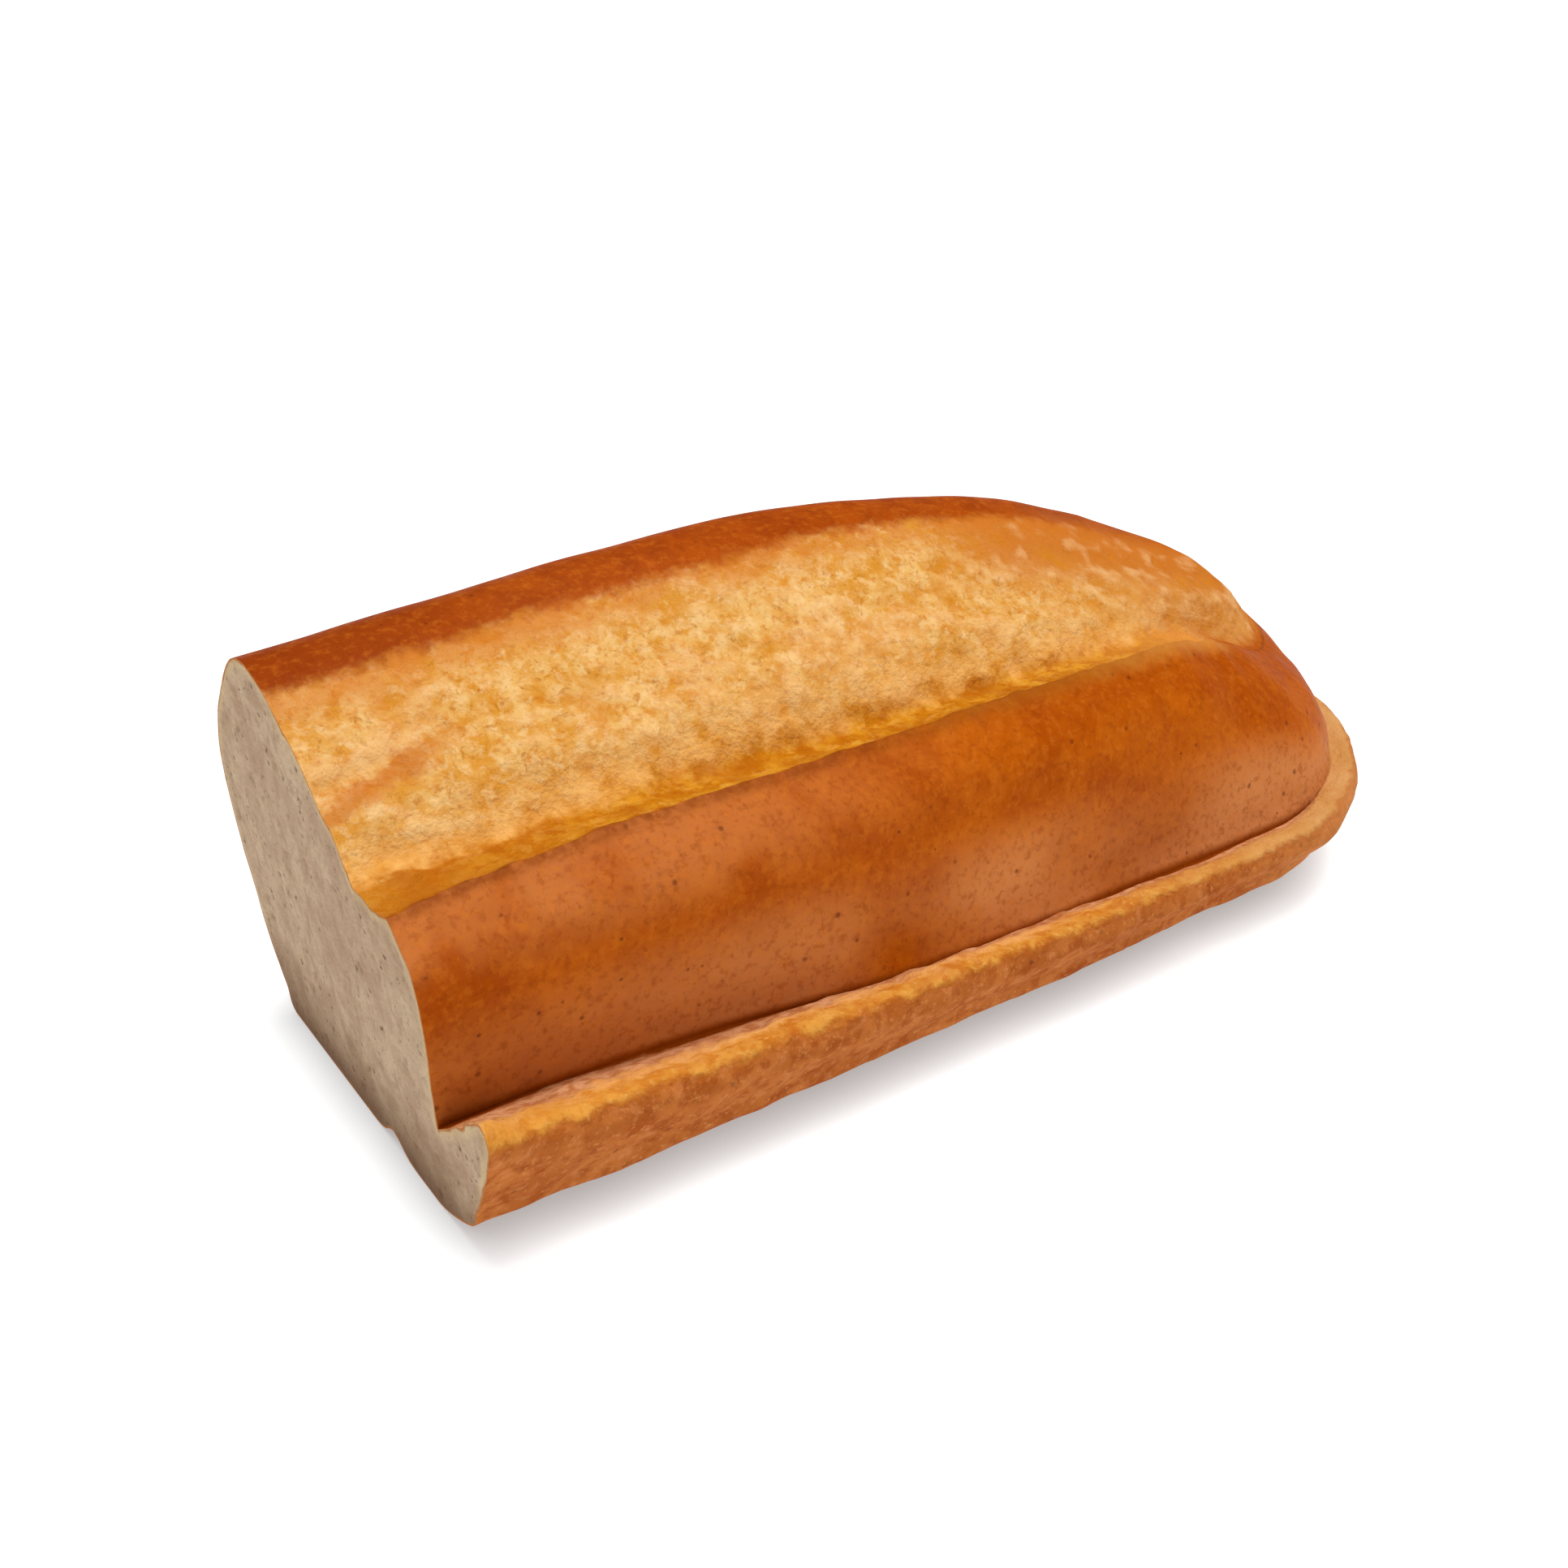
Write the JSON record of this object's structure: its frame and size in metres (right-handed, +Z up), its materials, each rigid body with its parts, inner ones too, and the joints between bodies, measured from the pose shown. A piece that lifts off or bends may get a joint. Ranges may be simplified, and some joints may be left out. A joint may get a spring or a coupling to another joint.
{
  "type": "cut bread roll half",
  "caption": "Rounded end half of a short wheat bread roll, cut across once, with an open pale burst along the top and a raised side burst at its foot.",
  "frame": {"origin": "bottom centre of the roll's bounding box, on the surface it rests on", "axes": "+X along the roll from the knife cut to the rounded end, -Y towards the side with the raised foot burst, +Z up"},
  "size_m": [0.1548, 0.0684, 0.053],
  "materials": {
    "crust": "baked wheat crust, satin, with torn pale top and open crumb on the cut"
  },
  "bodies": {
    "root": {"bread_roll": "crust"}
  },
  "joints": []
}
